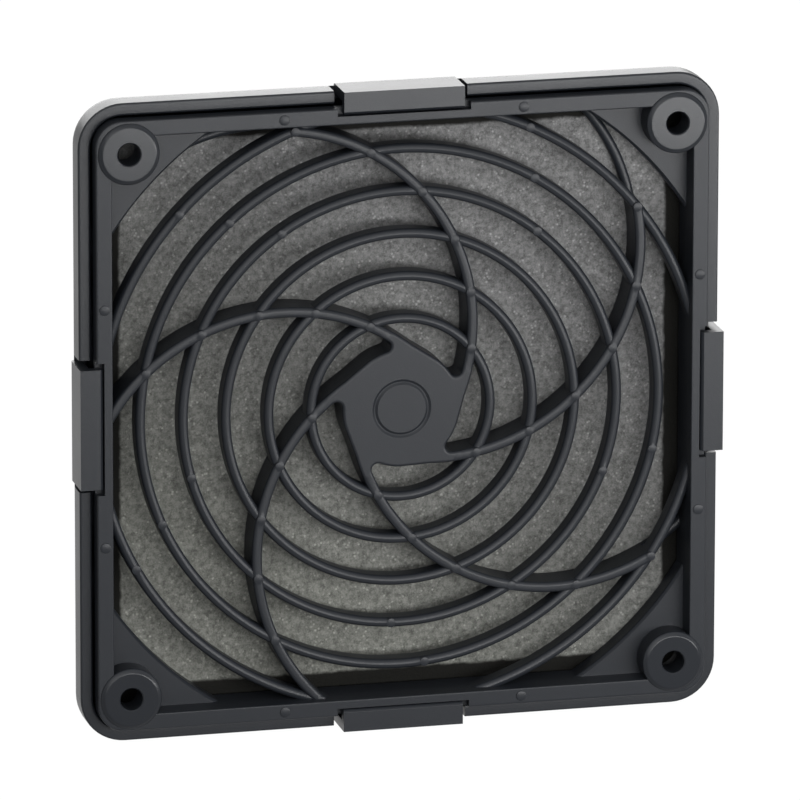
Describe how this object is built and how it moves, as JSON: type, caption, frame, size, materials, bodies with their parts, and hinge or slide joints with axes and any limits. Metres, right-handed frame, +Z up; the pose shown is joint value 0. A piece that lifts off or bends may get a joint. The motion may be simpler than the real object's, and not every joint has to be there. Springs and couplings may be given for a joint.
{
  "type": "ventilation grille",
  "caption": "Square fan filter guard: screw-on frame with a spiral finger guard, a foam filter pad and a slatted cover that snaps on with side tabs.",
  "frame": {"origin": "centre of the four screw holes, in the plane of the boss tops that lie on the fan", "axes": "+Y from the fan toward the cover's front, +Z up, +X to the right as seen from the fan side"},
  "size_m": [0.1238, 0.014, 0.1238],
  "materials": {
    "guard_plastic": "satin",
    "cover_plastic": "satin",
    "filter_foam": "open-cell foam"
  },
  "bodies": {
    "guard": {"guard": "guard_plastic"},
    "filter_pad": {"filter_pad": "filter_foam"},
    "cover": {"cover": "cover_plastic"},
    "snap_tab_top": {"snap_tab_top": "cover_plastic"},
    "snap_tab_right": {"snap_tab_right": "cover_plastic"},
    "snap_tab_bottom": {"snap_tab_bottom": "cover_plastic"},
    "snap_tab_left": {"snap_tab_left": "cover_plastic"}
  },
  "joints": [
    {"name": "cover_slide", "type": "slide", "parent": "guard", "child": "cover", "axis": [0, 1, 0], "range_m": [0, 0.03]},
    {"name": "filter_slide", "type": "slide", "parent": "guard", "child": "filter_pad", "axis": [0, 1, 0], "range_m": [0, 0.015]},
    {"name": "tab_hinge_top", "type": "hinge", "parent": "cover", "child": "snap_tab_top", "pos_m": [0, 0.0081, 0.0609], "axis": [-1, 0, 0], "range_deg": [0, 10], "stiffness_Nm_per_rad": 0.15},
    {"name": "tab_hinge_right", "type": "hinge", "parent": "cover", "child": "snap_tab_right", "pos_m": [0.0609, 0.0081, 0], "axis": [0, 0, 1], "range_deg": [0, 10], "stiffness_Nm_per_rad": 0.15},
    {"name": "tab_hinge_bottom", "type": "hinge", "parent": "cover", "child": "snap_tab_bottom", "pos_m": [0, 0.0081, -0.0609], "axis": [1, 0, 0], "range_deg": [0, 10], "stiffness_Nm_per_rad": 0.15},
    {"name": "tab_hinge_left", "type": "hinge", "parent": "cover", "child": "snap_tab_left", "pos_m": [-0.0609, 0.0081, 0], "axis": [0, 0, -1], "range_deg": [0, 10], "stiffness_Nm_per_rad": 0.15}
  ],
  "couplings": [
    {"joint": "filter_slide", "follows": "cover_slide", "ratio": 0.5}
  ]
}
